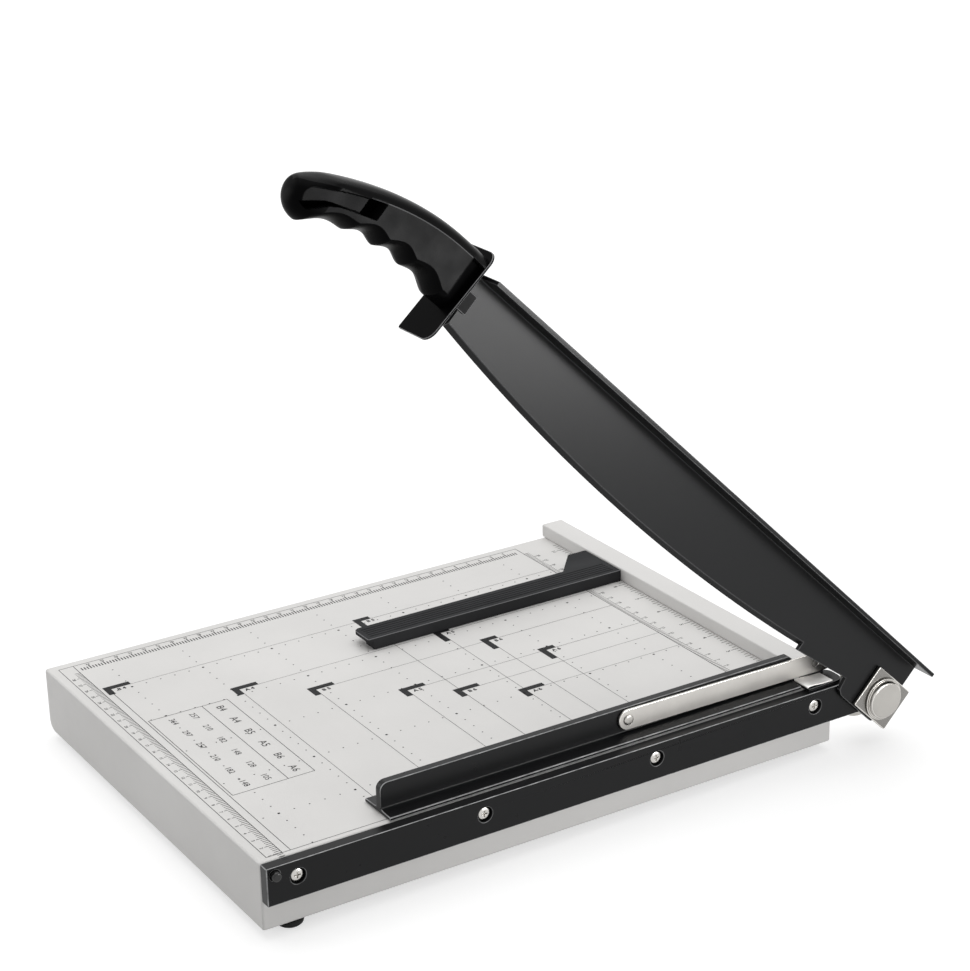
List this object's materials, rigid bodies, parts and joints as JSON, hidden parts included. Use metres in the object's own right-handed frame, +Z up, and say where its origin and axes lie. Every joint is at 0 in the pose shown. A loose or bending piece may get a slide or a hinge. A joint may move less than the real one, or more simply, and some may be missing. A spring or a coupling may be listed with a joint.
{
  "type": "guillotine paper cutter",
  "caption": "Flat table paper cutter with a swinging blade arm and moulded grip, a clamp bar along the cutting rail, a rear fence and a sliding side guide.",
  "frame": {"origin": "centre of the bounding box in plan, on the floor under the feet", "axes": "+X from the table towards the blade side, +Y from the front edge towards the fence and the pivot, +Z up from the table"},
  "size_m": [0.331, 0.4662, 0.4321],
  "materials": {
    "light_grey_paint": "satin light grey paint",
    "black_painted_steel": "satin black paint",
    "nickel_plate": "nickel plated steel",
    "black_plastic": "moulded black plastic",
    "black_rubber": "matt black rubber"
  },
  "bodies": {
    "base": {"base_pan": "light_grey_paint", "rear_fence": "light_grey_paint", "cutting_rail": "black_painted_steel", "rail_screw_1": "nickel_plate", "rail_screw_2": "nickel_plate", "rail_screw_3": "nickel_plate", "rail_screw_4": "nickel_plate", "stop_pin": "black_rubber", "pivot_washer": "nickel_plate", "pivot_collar": "nickel_plate", "link_bracket": "black_painted_steel", "link_pin": "nickel_plate", "leaf_spring": "nickel_plate", "foot_1": "black_rubber", "foot_2": "black_rubber", "foot_3": "black_rubber", "foot_4": "black_rubber", "foot_screw_1": "nickel_plate", "foot_screw_2": "nickel_plate", "foot_screw_3": "nickel_plate", "foot_screw_4": "nickel_plate"},
    "arm": {"blade_arm": "black_painted_steel", "handle": "black_plastic", "pivot_plate": "nickel_plate", "pivot_bolt": "nickel_plate", "pivot_nut": "nickel_plate"},
    "clamp": {"clamp_bar": "black_painted_steel", "clamp_link": "nickel_plate", "link_rivet": "nickel_plate"},
    "guide": {"side_guide": "black_plastic"}
  },
  "joints": [
    {"name": "arm_swing", "type": "hinge", "parent": "base", "child": "arm", "pos_m": [0.1455, 0.20248, 0.0329], "axis": [-1, 0, 0], "range_deg": [-41.5, 30]},
    {"name": "clamp_lift", "type": "hinge", "parent": "base", "child": "clamp", "pos_m": [0.1455, 0.16548, 0.0591], "axis": [-1, 0, 0], "range_deg": [0, 12]},
    {"name": "guide_slide", "type": "slide", "parent": "base", "child": "guide", "axis": [1, 0, 0], "range_m": [-0.05, 0.17]}
  ]
}
